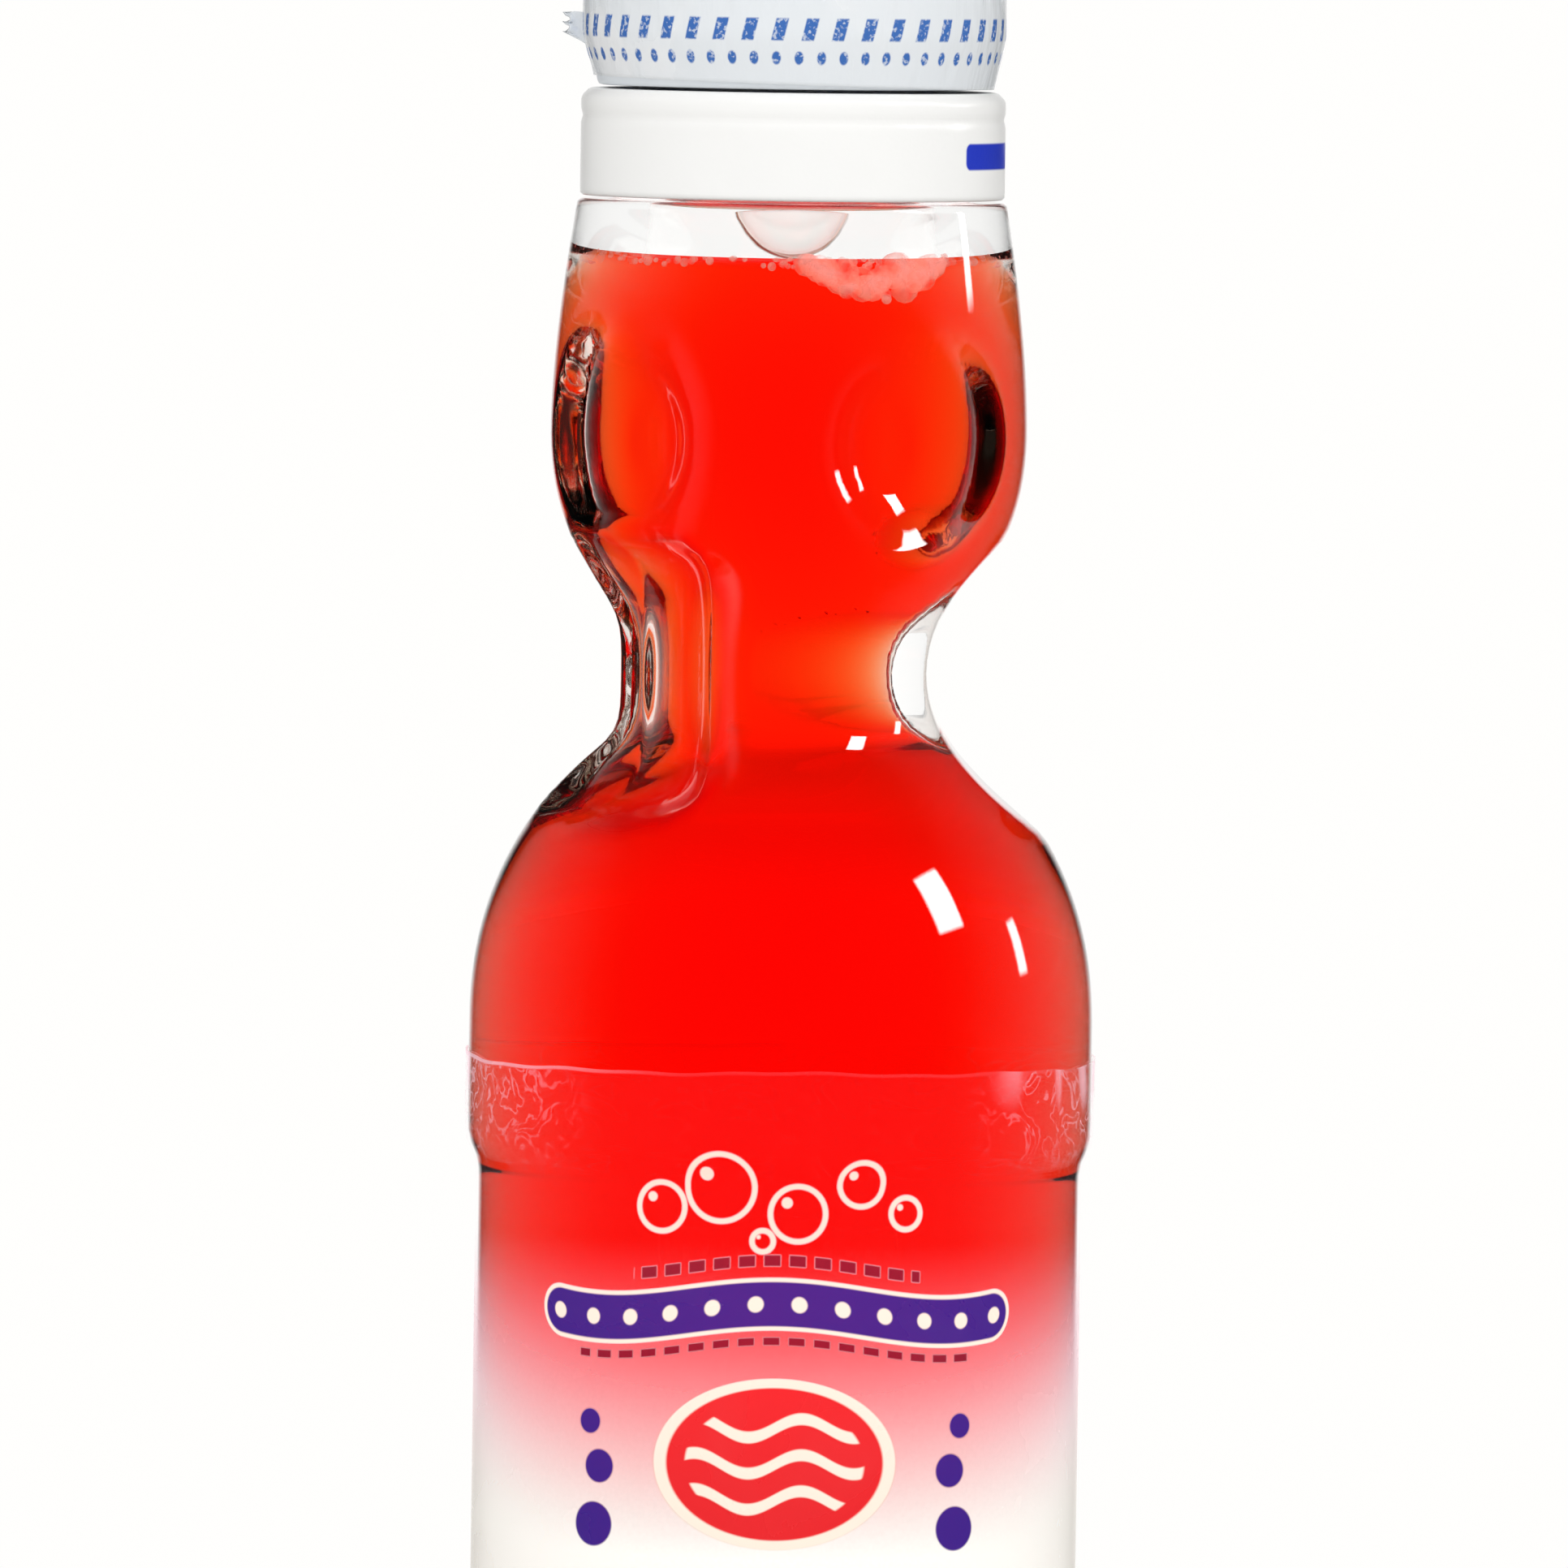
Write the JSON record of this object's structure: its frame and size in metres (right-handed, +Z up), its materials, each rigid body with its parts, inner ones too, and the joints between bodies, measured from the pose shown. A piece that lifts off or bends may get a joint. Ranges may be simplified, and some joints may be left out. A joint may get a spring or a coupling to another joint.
{
  "type": "soda bottle",
  "caption": "Thick clear glass soda bottle with a pinched waist and dimpled ball chamber, closed by a marble on a rubber gasket, with a push-down plunger opener under a seal film.",
  "frame": {"origin": "middle of the standing face, on the bottle's axis", "axes": "+Z up along the bottle's axis, -Y the front, between the two dimples of the ball chamber"},
  "size_m": [0.0602, 0.0602, 0.2048],
  "materials": {
    "bottle_glass": "clear, smooth, fire polished",
    "red_soda": "clear red liquid",
    "sleeve_film": "glossy shrink film, clear at the top edge and white below",
    "marble_glass": "clear, polished",
    "gasket_rubber": "matt",
    "white_plastic": "moulded, semi-gloss",
    "pale_plastic": "moulded, semi-gloss",
    "blue_plastic": "moulded, semi-gloss",
    "seal_film": "glossy shrink film, white with a blue print"
  },
  "bodies": {
    "bottle": {"glass_bottle": "bottle_glass", "soda": "red_soda", "label_sleeve": "sleeve_film", "mouthpiece": "white_plastic", "mouth_gasket": "gasket_rubber"},
    "marble": {"marble": "marble_glass"},
    "opener": {"opener_ring": "pale_plastic"},
    "plunger": {"plunger": "blue_plastic"},
    "film": {"seal_film": "seal_film"},
    "tear_strip": {"seal_tear_strip": "seal_film"}
  },
  "joints": [
    {"name": "opener_lift", "type": "slide", "parent": "bottle", "child": "opener", "axis": [0, 0, 1], "range_m": [0, 0.03]},
    {"name": "plunger_press", "type": "slide", "parent": "opener", "child": "plunger", "axis": [0, 0, -1], "range_m": [0, 0.0072]},
    {"name": "marble_drop", "type": "slide", "parent": "bottle", "child": "marble", "axis": [0, 0, -1], "range_m": [0, 0.0369], "deforming": ["soda"]},
    {"name": "film_lift", "type": "slide", "parent": "opener", "child": "film", "axis": [0, 0, 1], "range_m": [0, 0.02], "deforming": ["seal_film", "seal_tear_strip"]},
    {"name": "tear_pull", "type": "slide", "parent": "film", "child": "tear_strip", "axis": [-1, 0, 0], "range_m": [0, 0.012]}
  ],
  "couplings": [
    {"joint": "marble_drop", "follows": "plunger_press", "ratio": 5.12}
  ]
}
